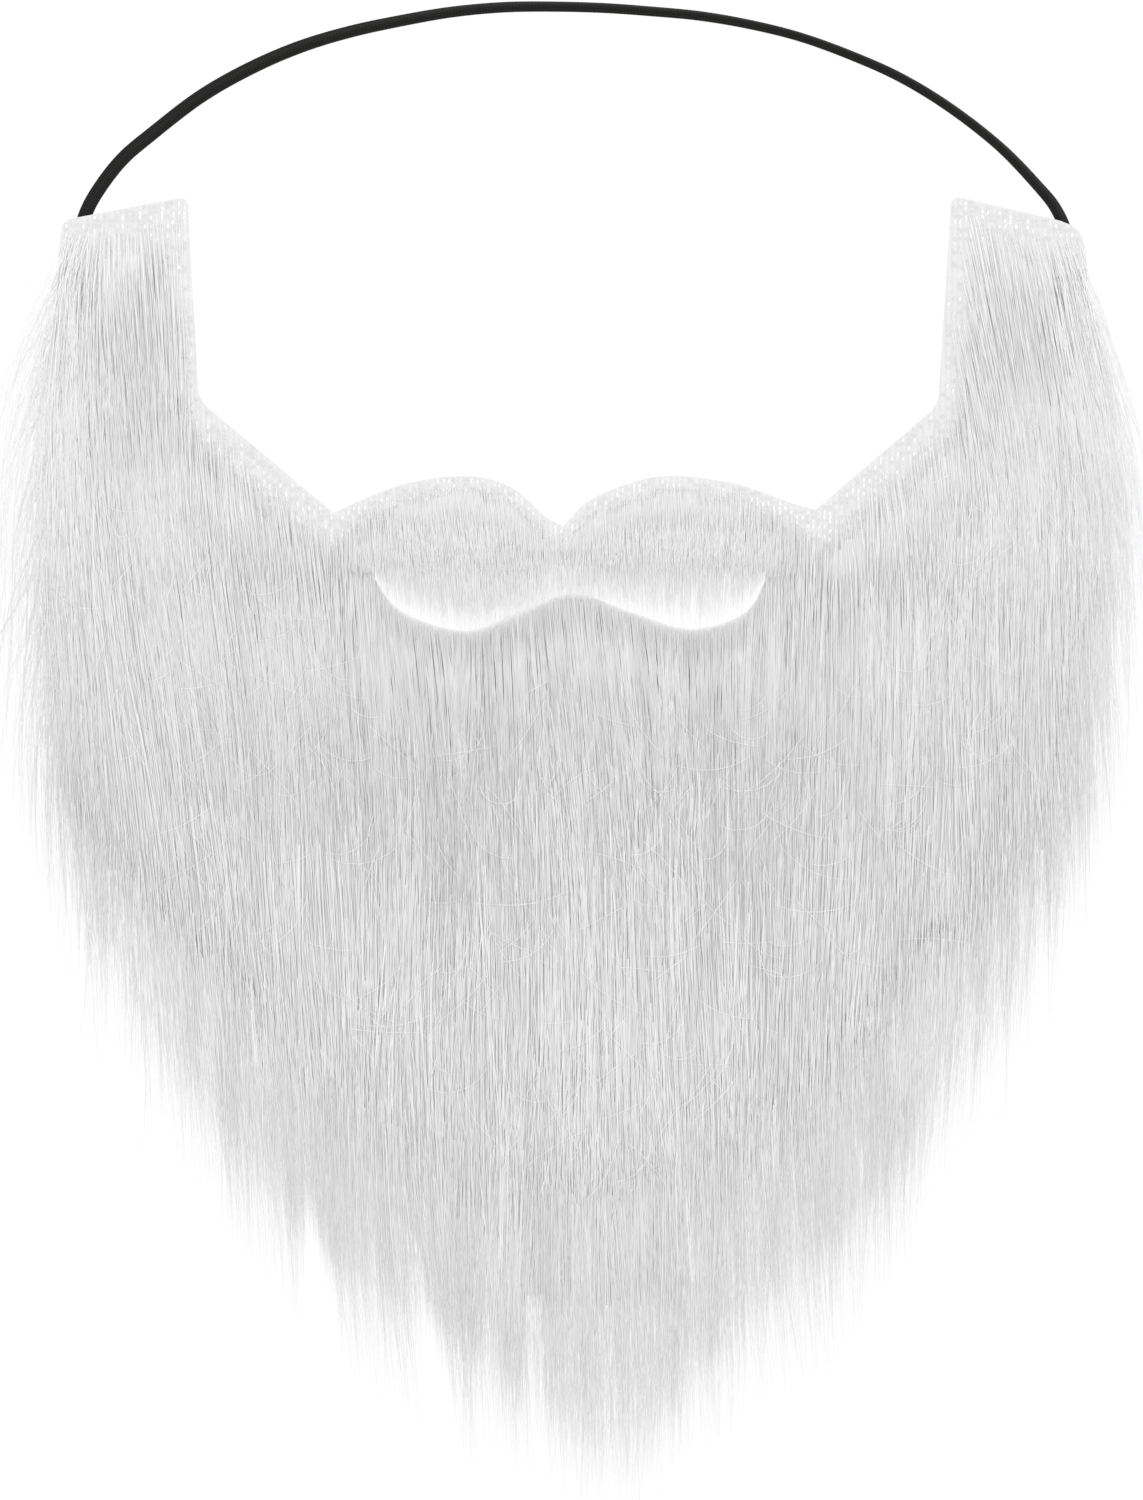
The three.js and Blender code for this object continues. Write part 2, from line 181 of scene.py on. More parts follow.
# Loose hairs on the face of the pile: how many, how long, how far off it they curl, and half their width
STRAYS = 420
STRAY_LENGTH, STRAY_HUMP, STRAY_RADIUS = (8.0, 22.0), (0.2, 0.7), (0.045, 0.07)

# The pile of the moustache, in mm
MOUSTACHE_DEPTH, MOUSTACHE_SLOPE = 2.6, 9.0
MOUSTACHE_SPACING = 0.46
MOUSTACHE_CLUMP = 1.7
MOUSTACHE_RADIUS = 0.048
MOUSTACHE_HALF, MOUSTACHE_FOOT = 46.0, 63.0
# Its lower edge, how far hairs hang past it, how much less on the right, and where it is narrowest
MOUSTACHE_EDGE, MOUSTACHE_HANG, RIGHT_HANGS_LESS = 65.5, 6.5, 2.0
MOUSTACHE_MIDDLE, MIDDLE_HALF = -2.0, 12.0
# The share of its hairs that reach the lip, what the right side and the middle change in it, and how far they end
# past the lip or short of it
TUCKED, TUCKED_LESS_RIGHT, TUCKED_MORE_MIDDLE = 0.48, 0.24, 0.45
TUCKED_PAST, TUCKED_SHORT = 3.0, 7.5

# The knit of the ground cloth, in mm
KNIT_WALE, KNIT_COURSE = 1.3, 1.05
STITCH_RADIUS = 0.17
KNIT_BAND = 8.5
# The share of the stitches that shows and that stands proud, which is also painted lighter as a painted highlight, and
# what is taken off beside the sideburns
STITCHES_SHOWN, STITCHES_PROUD_AND_HIGHLIT = (0.8, 0.4), (0.36, 0.28)
CLOTH_CELL = 2.6

# Floor and light, in m and W
FLOOR_SIZE, FLOOR_GLOW, SKY_STRENGTH = 12.0, 0.99, 0.88
LIGHTS = {
    "key_light": {"place": (-0.8, 0.7, 1.5), "size": 1.0, "power": 6.6},
    "fill_light": {"place": (1.2, -0.3, 1.4), "size": 1.2, "power": 6.2},
}


class Value:
    """A socket of a finish. Sums on it add Math nodes."""

    def __init__(self, finish, socket):
        self.finish, self.socket = finish, socket

    def math(self, operation, *terms):
        return self.finish.node("ShaderNodeMath", {"operation": operation}, list(terms))

    def __add__(self, other):
        return self.math("ADD", self, other)

    def __sub__(self, other):
        return self.math("SUBTRACT", self, other)

    def __mul__(self, other):
        return self.math("MULTIPLY", self, other)

    def __rsub__(self, other):
        return self.math("SUBTRACT", other, self)

    __radd__ = __add__
    __rmul__ = __mul__

    def sine(self):
        return self.math("SINE", self)

    def between(self, low, high):
        return self.finish.node("ShaderNodeMapRange", {"interpolation_type": "SMOOTHSTEP"},
                                {"Value": self, "From Min": low, "From Max": high})


class Finish:
    """A material with one Principled shader."""

    def __init__(self, name, **constants):
        self.material = bpy.data.materials.new(name)
        self.material.use_nodes = True
        self.tree = self.material.node_tree
        self.shader = self.tree.nodes["Principled BSDF"]
        for socket, value in constants.items():
            self.shader.inputs[socket.replace("_", " ")].default_value = value

    def node(self, kind, settings=None, sockets=None, output=0):
        node = self.tree.nodes.new(kind)
        for name, value in (settings or {}).items():
            setattr(node, name, value)
        named = sockets.items() if isinstance(sockets, dict) else enumerate(sockets or [])
        for name, value in named:
            if isinstance(value, Value):
                self.tree.links.new(value.socket, node.inputs[name])
            else:
                node.inputs[name].default_value = value
        return Value(self, node.outputs[output])

    def place(self):
        """The x, y and z of a point of the piece, in mm."""
        spot = self.node("ShaderNodeTexCoord", output="Object")
        split = self.node("ShaderNodeSeparateXYZ", sockets=[spot]).socket.node
        return [Value(self, split.outputs[i]) * (1 / MM) for i in range(3)]

    def flat(self, name):
        """The u and v of the piece's own map."""
        spot = self.node("ShaderNodeUVMap", {"uv_map": name})
        split = self.node("ShaderNodeSeparateXYZ", sockets=[spot]).socket.node
        return Value(self, split.outputs[0]), Value(self, split.outputs[1])

    def grey(self, level):
        return self.node("ShaderNodeCombineColor", sockets=[level, level, level])

    def feed(self, socket, value):
        self.tree.links.new(value.socket, self.shader.inputs[socket])

    def relief(self, height, distance, strength=1.0):
        bump = self.node("ShaderNodeBump", sockets={"Height": height, "Distance": distance, "Strength": strength})
        self.feed("Normal", bump)


def smoothstep(low, high, value):
    share = np.clip((value - low) / (high - low), 0.0, 1.0)
    return share * share * (3.0 - 2.0 * share)


def cloth_lift(y):
    """How far the cord holds the cloth off the floor, in mm."""
    return LIFT_HEIGHT * smoothstep(LIFT_START, LIFT_END, y)


def spline(points, steps=6):
    """Points along a smooth line through the given ones."""
    p = np.array(points, float)
    padded = np.vstack([p[:1], p, p[-1:]])
    t = np.linspace(0.0, 1.0, steps, endpoint=False)[:, None]
    parts = []
    for i in range(len(p) - 1):
        a, b, c, d = padded[i:i + 4]
        pull_b, pull_c = (c - a) / 2, (d - b) / 2
        cubic = 2 * b - 2 * c + pull_b + pull_c
        square = -3 * b + 3 * c - 2 * pull_b - pull_c
        parts.append(cubic * t ** 3 + square * t ** 2 + pull_b * t + b)
    return np.vstack([*parts, p[-1:]])


def rounded(before, corner, after, radius, steps=5):
    before, corner, after = (np.array(p, float) for p in (before, corner, after))
    start = corner + (before - corner) / np.linalg.norm(before - corner) * radius
    end = corner + (after - corner) / np.linalg.norm(after - corner) * radius
    t = np.linspace(0.0, 1.0, steps)[:, None]
    return (1 - t) ** 2 * start + 2 * t * (1 - t) * corner + t ** 2 * end


def moustache_outline():
    left = spline([LEFT_SIDEBURN["lip"], *MOUSTACHE_LEFT, MOUSTACHE_DIP])[:-1]
    return np.vstack([left, spline([MOUSTACHE_DIP, *MOUSTACHE_RIGHT, RIGHT_SIDEBURN["lip"]])])


def cloth_outline():
    left, right = LEFT_SIDEBURN, RIGHT_SIDEBURN
    radius = CORNER_RADIUS
    return np.vstack([
        rounded(left["outer"], left["inner"], left["foot"], radius["left_inner"]),
        rounded(left["inner"], left["foot"], left["lip"], radius["foot"]),
        moustache_outline(),
        rounded(right["lip"], right["foot"], right["inner"], radius["foot"]),
        rounded(right["foot"], right["inner"], right["outer"], radius["right_inner"]),
        rounded(right["inner"], right["outer"], CHIN_EDGE[0], radius["right_outer"]),
        spline(CHIN_EDGE),
        rounded(CHIN_EDGE[-1], left["outer"], left["inner"], radius["left_outer"]),
    ])


def mouth_outline():
    return np.vstack([spline(LOWER_LIP)[:-1], spline([LOWER_LIP[-1], *UPPER_LIP, LOWER_LIP[0]])[:-1]])


class EdgeDistance:
    """The distance from a line of points, in mm: with closed, plus inside it and minus outside."""

    LOW = np.array([-145.0, -165.0])
    SHAPE = (291, 331)

    def __init__(self, points, closed):
        p = np.array(points, float)
        ends = np.roll(p, -1, axis=0) if closed else p[1:]
        starts = p if closed else p[:-1]
        gx, gy = np.meshgrid(*(self.LOW[i] + np.arange(self.SHAPE[i]) for i in range(2)), indexing="ij")
        spot = np.stack([gx, gy], -1).reshape(-1, 2)
        nearest = np.full(len(spot), np.inf)
        inside = np.zeros(len(spot), bool)
        for a, b in zip(starts, ends):
            run = b - a
            share = np.clip(((spot - a) @ run) / max(run @ run, 1e-9), 0.0, 1.0)
            nearest = np.minimum(nearest, np.hypot(*(spot - a - share[:, None] * run).T))
            if closed and a[1] != b[1]:
                crosses = (a[1] > spot[:, 1]) != (b[1] > spot[:, 1])
                inside ^= crosses & (spot[:, 0] < run[0] * (spot[:, 1] - a[1]) / run[1] + a[0])
        signed = np.where(inside, nearest, -nearest) if closed else nearest
        self.grid = signed.reshape(self.SHAPE)

    def __call__(self, x, y):
        u = np.clip(x - self.LOW[0], 0, self.SHAPE[0] - 1.001)
        v = np.clip(y - self.LOW[1], 0, self.SHAPE[1] - 1.001)
        i, j = u.astype(int), v.astype(int)
        u, v = u - i, v - j
        g = self.grid
        near = g[i, j] * (1 - u) + g[i + 1, j] * u
        far = g[i, j + 1] * (1 - u) + g[i + 1, j + 1] * u
        return near * (1 - v) + far * v


CLOTH = cloth_outline()
MOUTH = mouth_outline()
cloth_edge = EdgeDistance(CLOTH, True)
mouth_edge = EdgeDistance(MOUTH, True)
pile_edge = EdgeDistance(PILE_OUTLINE, True)
left_top = EdgeDistance([LEFT_SIDEBURN["outer"], LEFT_SIDEBURN["inner"]], False)
right_top = EdgeDistance([RIGHT_SIDEBURN["inner"], RIGHT_SIDEBURN["outer"]], False)
left_cheek = EdgeDistance([LEFT_SIDEBURN["inner"], LEFT_SIDEBURN["foot"], LEFT_SIDEBURN["lip"]], False)
right_cheek = EdgeDistance([RIGHT_SIDEBURN["inner"], RIGHT_SIDEBURN["foot"], RIGHT_SIDEBURN["lip"]], False)
moustache_top = EdgeDistance(moustache_outline(), False)
outer_edge = EdgeDistance(np.vstack([RIGHT_SIDEBURN["outer"], spline(CHIN_EDGE), LEFT_SIDEBURN["outer"]]), False)
lock_gaps = [EdgeDistance(gap, True) for gap in LOCK_GAPS]


def deselect():
    bpy.ops.object.select_all(action="DESELECT")


def mesh_piece(name, vertices, faces, finish, flat_map=None, smooth=True):
    """A piece from arrays: vertices in mm, lists of faces of one size each, and a u and v for each vertex."""
    mesh = bpy.data.meshes.new(name)
    corners = np.concatenate([f.ravel() for f in faces])
    sizes = np.concatenate([np.full(len(f), f.shape[1]) for f in faces])
    mesh.vertices.add(len(vertices))
    mesh.vertices.foreach_set("co", (np.asarray(vertices) * MM).astype(np.float32).ravel())
    mesh.loops.add(len(corners))
    mesh.loops.foreach_set("vertex_index", corners.astype(np.int32))
    mesh.polygons.add(len(sizes))
    mesh.polygons.foreach_set("loop_start", np.concatenate([[0], np.cumsum(sizes)[:-1]]).astype(np.int32))
    if flat_map is not None:
        layer = mesh.uv_layers.new(name="OFBake")
        layer.data.foreach_set("uv", flat_map[corners].astype(np.float32).ravel())
    mesh.update(calc_edges=True)
    mesh.polygons.foreach_set("use_smooth", np.full(len(sizes), smooth))
    mesh.materials.append(finish.material)
    piece = bpy.data.objects.new(name, mesh)
    bpy.context.scene.collection.objects.link(piece)
    return piece


def fibres(name, paths, radii, shade, finish, flatness=HAIR_FLATNESS):
    """Closed three-sided fibres that taper to a point, in one mesh. paths is fibre, station, xyz in mm."""
    count, stations, _ = paths.shape
    along = np.gradient(paths, axis=1)
    along /= np.linalg.norm(along, axis=2, keepdims=True)
    up = np.zeros_like(along)
    up[..., 2] = 1.0
    side = np.cross(along, up)
    side /= np.linalg.norm(side, axis=2, keepdims=True)
    up = np.cross(side, along)
    angles = np.radians([90.0, 210.0, 330.0])
    rings = stations - 1
    wide, tall = np.cos(angles)[:, None], flatness * np.sin(angles)[:, None]
    corners = paths[:, :rings, None, :] + radii[:, :rings, None, None] * (
        side[:, :rings, None, :] * wide + up[:, :rings, None, :] * tall)
    vertices = np.concatenate([corners.reshape(count, rings * 3, 3), paths[:, -1:, :]], axis=1)
    per = rings * 3 + 1
    ring, turn = np.meshgrid(np.arange(rings - 1) * 3, np.arange(3), indexing="ij")
    ring, turn = ring.ravel(), turn.ravel()
    following = (turn + 1) % 3
    walls = np.stack([ring + turn, ring + 3 + turn, ring + 3 + following, ring + following], 1)
    last = (rings - 1) * 3
    ends = np.array([[last + j, per - 1, last + (j + 1) % 3] for j in range(3)] + [[0, 1, 2]])
    start = (np.arange(count) * per)[:, None, None]
    share = np.concatenate([np.repeat(np.linspace(0.0, 1.0, stations)[:rings], 3), [1.0]])
    spread = np.concatenate([np.tile([0.0, -0.008, 0.008], rings), [0.0]])
    flat_map = np.stack([
        np.clip(shade[:, None] + spread, 0.01, 0.99), np.broadcast_to(0.02 + 0.96 * share, (count, per))], 2)
    return mesh_piece(
        name, vertices.reshape(-1, 3), [(start + walls).reshape(-1, 4), (start + ends).reshape(-1, 3)], finish,
        flat_map.reshape(-1, 2), smooth=False)


# Camera

deselect()
bpy.ops.object.camera_add(location=(VIEW_MIDDLE[0] * MM, VIEW_MIDDLE[1] * MM, CAMERA_HEIGHT * MM), rotation=(0, 0, 0))
camera = bpy.context.object
camera.data.sensor_width = SENSOR
camera.data.lens = SENSOR * CAMERA_HEIGHT / VIEW_HEIGHT
bpy.context.scene.camera = camera

# Head elastic


def elastic_finish():
    finish = Finish("black_elastic", Roughness=0.6, Specular_IOR_Level=0.2)
    around, along = finish.flat("OFBake")
    left = ((around * BRAID_AROUND + along * BRAID_ALONG) * FULL_TURN).sine()
    right = ((around * BRAID_AROUND - along * BRAID_ALONG) * FULL_TURN).sine()
    braid = left * right
    rib = (around * CORD_RIBS * FULL_TURN).sine()
    level = 0.006 + 0.017 * rib.between(-0.2, 1.0) + 0.009 * braid.between(-0.4, 0.9)
    tone = finish.node("ShaderNodeCombineColor", sockets=[level, level * 0.97, level * 0.93])
    finish.feed("Base Color", tone)
    finish.relief(braid, 0.00012, 0.7)
    return finish


def head_elastic():
    """A flat ribbed elastic that lies on the floor and turns slowly on edge, with its ends under the sideburns."""
    line = spline(CORD_ROUTE, 24)
    run = np.concatenate([[0.0], np.cumsum(np.hypot(*np.diff(line, axis=0).T))])
    length = run[-1]
    rings, sides = CORD_RINGS, CORD_SIDES
    at = np.linspace(0.0, length, rings)
    x, y = np.interp(at, run, line[:, 0]), np.interp(at, run, line[:, 1])
    turn = np.radians(np.interp(at / length, CORD_TURN["share"], CORD_TURN["degrees"]))
    half_wide, half_thick = CORD_WIDTH / 2, CORD_THICKNESS / 2
    tail = 1.0 - smoothstep(*TAIL_RUN, np.minimum(at, length - at))
    z = np.hypot(half_wide * np.sin(turn), half_thick * np.cos(turn)) + CORD_CLEAR + TAIL_RISE * tail
    slope = np.gradient(np.stack([x, y], 1), axis=0)
    slope /= np.linalg.norm(slope, axis=1, keepdims=True)
    across = np.stack([slope[:, 1], -slope[:, 0], np.zeros(rings)], 1)
    angle = np.linspace(0.0, 2 * np.pi, sides, endpoint=False)
    rib = 1.0 + RIB_DEPTH * np.cos(CORD_RIBS * angle)
    wide = half_wide * np.sign(np.cos(angle)) * np.abs(np.cos(angle)) ** CORD_ROUNDING * rib
    thick = half_thick * np.sign(np.sin(angle)) * np.abs(np.sin(angle)) ** CORD_ROUNDING * rib
    cos, sin = np.cos(turn)[:, None], np.sin(turn)[:, None]
    flat = wide * cos - thick * sin
    tall = wide * sin + thick * cos
    points = np.stack([x, y, z], 1)[:, None, :] + flat[..., None] * across[:, None, :]
    points[..., 2] += tall
    ends = np.stack([x, y, z], 1)[[0, -1]]
    vertices = np.vstack([points.reshape(-1, 3), ends])
    ring, side = np.meshgrid(np.arange(rings - 1), np.arange(sides), indexing="ij")
    ring, side = ring.ravel(), side.ravel()
    following = (side + 1) % sides
    walls = np.stack([ring * sides + side, ring * sides + following,
                      (ring + 1) * sides + following, (ring + 1) * sides + side], 1)
    first, last = rings * sides, rings * sides + 1
    lap = np.arange(sides)
    caps = np.vstack([
        np.stack([np.full(sides, first), (lap + 1) % sides, lap], 1),
        np.stack([np.full(sides, last), last - 1 - sides + lap, last - 1 - sides + (lap + 1) % sides], 1)])
    u = np.abs(np.tile(2 * lap / sides, rings) - 1.0)
    flat_map = np.vstack([np.stack([0.02 + 0.96 * u, 0.02 + 0.96 * np.repeat(at / length, sides)], 1),
                          [[0.5, 0.01], [0.5, 0.99]]])
    piece = mesh_piece("head_elastic", vertices, [walls, caps], elastic_finish(), flat_map)
    path = np.stack([x, y, z], 1) * MM
    return piece, path, length * MM


elastic, elastic_path, elastic_length = head_elastic()
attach(elastic, "root")
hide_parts("elastic_cord")

# Ground cloth


def knit_finish():
    finish = Finish("white_knit", Roughness=0.85, Specular_IOR_Level=0.2)
    x, y, _ = finish.place()
    wale = (x * (FULL_TURN / KNIT_WALE)).sine()
    course = (y * (FULL_TURN / KNIT_COURSE)).sine()
    loops = wale * course
    speck = finish.node("ShaderNodeTexNoise", sockets={
        "Vector": finish.node("ShaderNodeTexCoord", output="Object"), "Scale": 420.0, "Detail": 2.0})
    level = 0.75 + 0.04 * wale.between(-1.0, 1.0) + 0.05 * speck.between(0.55, 0.75) - 0.03 * loops.between(0.0, 1.0)
    finish.feed("Base Color", finish.grey(level))
    finish.relief(wale + loops * 0.4, 0.00008, 0.6)
    return finish


def loop_of_points(points):
    """A closed line of vertices at the given points, as its own object."""
    bpy.ops.mesh.primitive_circle_add(vertices=len(points), radius=MM)
    ring = bpy.context.object
    for vertex, (x, y) in zip(ring.data.vertices, points):
        vertex.co = (x * MM, y * MM, 0.0)
    return ring


def ground_cloth(finish):
    """The knitted cloth, cut out flat, ruled into cells, lifted over the cord ends and given its thickness."""
    deselect()
    mouth = loop_of_points(MOUTH)
    cloth = loop_of_points(CLOTH)
    mouth.select_set(True)
    cloth.select_set(True)
    bpy.context.view_layer.objects.active = cloth
    bpy.ops.object.join()
    cloth.name = "ground_cloth"
    bpy.ops.object.mode_set(mode="EDIT")
    bpy.ops.mesh.select_all(action="SELECT")
    bpy.ops.mesh.fill(use_beauty=True)
    low, high = CLOTH.min(0), CLOTH.max(0)
    for axis in range(2):
        for at in np.arange(low[axis] + CLOTH_CELL / 2, high[axis], CLOTH_CELL):
            spot, normal = [0.0, 0.0, 0.0], [0.0, 0.0, 0.0]
            spot[axis], normal[axis] = at * MM, 1.0
            bpy.ops.mesh.select_all(action="SELECT")
            bpy.ops.mesh.bisect(plane_co=spot, plane_no=normal)
    bpy.ops.mesh.select_all(action="SELECT")
    bpy.ops.mesh.remove_doubles(threshold=0.02 * MM)
    bpy.ops.mesh.normals_make_consistent(inside=False)
    bpy.ops.object.mode_set(mode="OBJECT")
    if sum(p.normal.z * p.area for p in cloth.data.polygons) < 0:
        cloth.data.flip_normals()
    for vertex in cloth.data.vertices:
        vertex.co.z = float(cloth_lift(vertex.co.y / MM)) * MM
    wall = cloth.modifiers.new("thickness", "SOLIDIFY")
    wall.thickness = CLOTH_THICKNESS * MM
    wall.offset = 1.0
    bpy.ops.object.modifier_apply(modifier=wall.name)
    bpy.ops.object.shade_smooth_by_angle(angle=0.6)
    cloth.data.materials.clear()
    cloth.data.materials.append(finish.material)
    return cloth


cloth = ground_cloth(knit_finish())
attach(cloth, "root")
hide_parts("backing")

# Fur

rng = np.random.default_rng(SEED)
# The lines of hairs are sampled every STEP mm
STEP = 4.0
SAMPLES = 26
REACH = STEP * np.arange(SAMPLES)
LONG_HAIR = {"stations": np.array([0.0, 0.12, 0.4, 0.72, 1.0]), "taper": np.array([0.6, 1.0, 0.92, 0.5, 0.0])}
WISP_TAPER = np.array([0.6, 1.0, 1.0, 0.8, 0.0])
SHORT_HAIR = {"stations": np.array([0.0, 0.3, 0.8, 1.0]), "taper": np.array([0.8, 1.0, 0.9, 0.0])}


def scatter(spacing):
    """Spots about spacing mm apart all over the cloth's box."""
    low, high = CLOTH.min(0), CLOTH.max(0)
    gx, gy = np.meshgrid(np.arange(low[0], high[0], spacing), np.arange(low[1], high[1], spacing), indexing="ij")
    jitter = rng.uniform(-0.5, 0.5, (2, gx.size)) * spacing
    return gx.ravel() + jitter[0], gy.ravel() + jitter[1]


def heading(x, y):
    """Which way the pile is combed, in radians from straight down, plus to the right."""
    share = COMB["low_share"] + (1.0 - COMB["low_share"]) * smoothstep(-30.0, 50.0, y)
    body = (COMB["body"] - COMB["draw_in"] * x / HALF_WIDTH) * share
    sideburn = COMB["sideburn"] + COMB["fan"] * x / HALF_WIDTH
    up = smoothstep(60.0, 110.0, y)
    sway = 1.6 * np.sin(x * 0.061 + y * 0.022 + 1.0) + 1.2 * np.sin(x * 0.13 - y * 0.045 + 2.3)
    return np.radians(body * (1 - up) + sideburn * up + sway)


def combed(x, y, turn):
    """The lines that hairs follow from their roots: line, sample, xy in mm."""
    line = np.empty((len(x), SAMPLES, 2))
    for i in range(SAMPLES):
        line[:, i, 0], line[:, i, 1] = x, y
        angle = heading(x, y) + turn
        x, y = x + STEP * np.sin(angle), y - STEP * np.cos(angle)
    return line


def clumps(x, y, size):
    """Gathers roots into clumps about size mm across: each root's clump, and the clumps' middles."""
    across = x + 0.4 * size * np.sin(y * 1.7 / size + 0.6)
    down = y + 0.4 * size * np.sin(x * 1.9 / size + 1.9)
    cell = np.floor(across / size) * 4096 + np.floor(down / size)
    _, index = np.unique(cell, return_inverse=True)
    count = np.bincount(index)
    return index, np.bincount(index, x) / count, np.bincount(index, y) / count


def gathered(line, x, y, own_x, own_y, pull):
    """Lines beside a clump's own line, which draw together towards their ends."""
    offset = np.stack([x - own_x, y - own_y], 1)[:, None, :]
    close = 1.0 - pull[:, None, None] * smoothstep(0.0, GATHER_RUN, REACH)[None, :, None]
    return line + offset * close


def reach_of(inside):
    """How far along each line, in mm, the sampled distance inside an edge first falls below nought."""
    out = inside < 0.0
    first = np.where(out.any(1), out.argmax(1), SAMPLES - 1)
    before = np.maximum(first - 1, 0)
    row = np.arange(len(inside))
    a, b = inside[row, before], inside[row, first]
    share = np.where(a > b, np.clip(a / np.maximum(a - b, 1e-6), 0.0, 1.0), 1.0)
    return (before + share) * STEP


def by_clump(spread, clump):
    """A random amount for each clump, read at its roots."""
    index, middle_x, _ = clump
    return rng.normal(0.0, spread, len(middle_x))[index]


def combed_lines(x, y, big, small, wispy):
    """The lines of the beard's hairs, drawn together in small clumps that lie in big ones."""
    big_index, big_x, big_y = big
    small_index, small_x, small_y = small
    owner = np.zeros(len(small_x), int)
    owner[small_index] = big_index
    big_line = combed(big_x, big_y, np.radians(rng.normal(0.0, LEAN["big"], len(big_x))))
    pull = GATHER["high"] + GATHER["lower"] * smoothstep(70.0, -40.0, small_y)
    small_line = gathered(big_line[owner], small_x, small_y, big_x[owner], big_y[owner], pull)
    lean = np.radians(rng.normal(0.0, LEAN["small"], len(small_x)))
    small_line[..., 0] += np.sin(lean)[:, None] * REACH
    pull = np.where(wispy, GATHER["wisp"], GATHER["hair"])
    line = gathered(small_line[small_index], x, y, small_x[small_index], small_y[small_index], pull)
    own = np.radians(rng.normal(0.0, 1.0, len(x)) * np.where(wispy, LEAN["wisp"], LEAN["hair"]))
    bend = np.radians(rng.normal(0.0, LEAN["bend"], len(x)))
    fan = np.where(x < 0.0, -FLARE["left"], FLARE["right"])
    flare = np.radians(fan) * np.clip(1.0 - outer_edge(x, y) / FLARE["band"], 0.0, 1.0)
    flare *= smoothstep(-25.0, 70.0, y) * rng.uniform(*FLARE_SPREAD, len(x))
    spread = FLARE["run"] * (1.0 - np.exp(-REACH / FLARE["run"]))
    line[..., 0] += np.sin(own)[:, None] * REACH + np.tan(flare)[:, None] * spread
    line[..., 0] += np.sin(bend)[:, None] * REACH ** 2 / BEND_RUN
    return line


def pile_lengths(x, y, line, big, small, short, uneven, wispy):
    """How long each hair of the beard is, in mm, which ones are wisps, and how much each loose one is thinned."""
    wisp = rng.uniform(size=len(x)) < WISP_SHARE
    length = by_clump(CLUMP_SPREAD, big) + by_clump(CLUMP_SPREAD, small)
    length += PILE_LENGTH - short + rng.normal(0.0, 1.0, len(x)) * (PILE_SPREAD + uneven)
    length += CHIN_EXTRA * np.exp(-((x - CHIN_MIDDLE) / CHIN_HALF) ** 2) + np.where(wisp, WISP_EXTRA, 0.0)
    length += (LEFT_EXTRA * smoothstep(-10.0, -60.0, x) * smoothstep(40.0, 0.0, y)
               + LOOSE_EXTRA * wispy * smoothstep(20.0, -30.0, y))
    beyond = np.where(x < 0.0, WISP_REACH["left"], WISP_REACH["right"])[:, None]
    beyond = beyond + (WISP_REACH["below"] - beyond) * smoothstep(0.0, -70.0, line[..., 1])
    room = reach_of(pile_edge(line[..., 0], line[..., 1]) + beyond)
    low = smoothstep(20.0, -50.0, y - np.minimum(room, length))
    thinning = [THINNING["side"][i] + (THINNING["below"][i] - THINNING["side"][i]) * low for i in range(2)]
    thinned = np.maximum(thinning[0] + thinning[1] * rng.normal(0.0, 1.0, len(x)), 0.0)
    share = rng.uniform(size=len(x))
    loosely = WISP_THINNING["side"] + (WISP_THINNING["below"] - WISP_THINNING["side"]) * low
    loosely *= share * (1.0 - low) + (1.0 - np.exp(-THINNING_RATE * share)) * low
    tip = np.exp(-((x - CHIN_MIDDLE) / TIP_HALF) ** 2) * low
    loosely *= 1.0 - TIP_WISPS_FULLER * tip
    room = room - np.where(wispy, loosely, thinned * (1.0 - TIP_FULLER * tip))
    for gap in lock_gaps:
        spill = rng.normal(*GAP_SPREAD, len(x))
        room = np.minimum(room, reach_of(-gap(line[..., 0], line[..., 1])) + spill)
    length = np.minimum(np.minimum(np.clip(length, PILE_SHORTEST, PILE_LONGEST), room), y - LOWEST_TIP)
    return np.maximum(length, STUBBLE), wisp, share


def pile_shades(x, y, even, big, small):
    """How light each hair of the beard is, from 0 to 1."""
    shade = by_clump(SHADE["big"], big) + by_clump(SHADE["small"], small)
    shade = SHADE["middle"] + even * (shade + rng.normal(0.0, SHADE["hair"], len(x))) + (
        SHADE["sideburns"] * smoothstep(50.0, 110.0, y))
    # The flanks are painted lighter: painted light where light shines through the thinner hair at the sides
    shade += SHADE["flanks_painted_light"] * (1.0 - smoothstep(0.0, 16.0, outer_edge(x, y))) * smoothstep(-40.0, 20.0, y)
    # Hairs rooted near the lip are painted darker: painted shade that tones down the steep, well-lit pile below the
    # lip
    shade -= SHADE["lip"] * np.exp(-(mouth_edge(x, y) / 18.0) ** 2) * (y < CHEEK_TOP)
    # The cheeks are painted darker: painted shade against the light that falls on them
    shade -= SHADE["cheeks"] * smoothstep(0.0, 40.0, y) * smoothstep(95.0, 60.0, y)
    # Hairs near the upper cut edges are painted lighter: painted light against the shade in the gaps near their roots
    shade += SHADE["upper_edges_painted_light"] * (1.0 - smoothstep(1.0, 13.0, upper_edge(x, y)))
    return np.clip(shade, *SHADE_LIMITS)


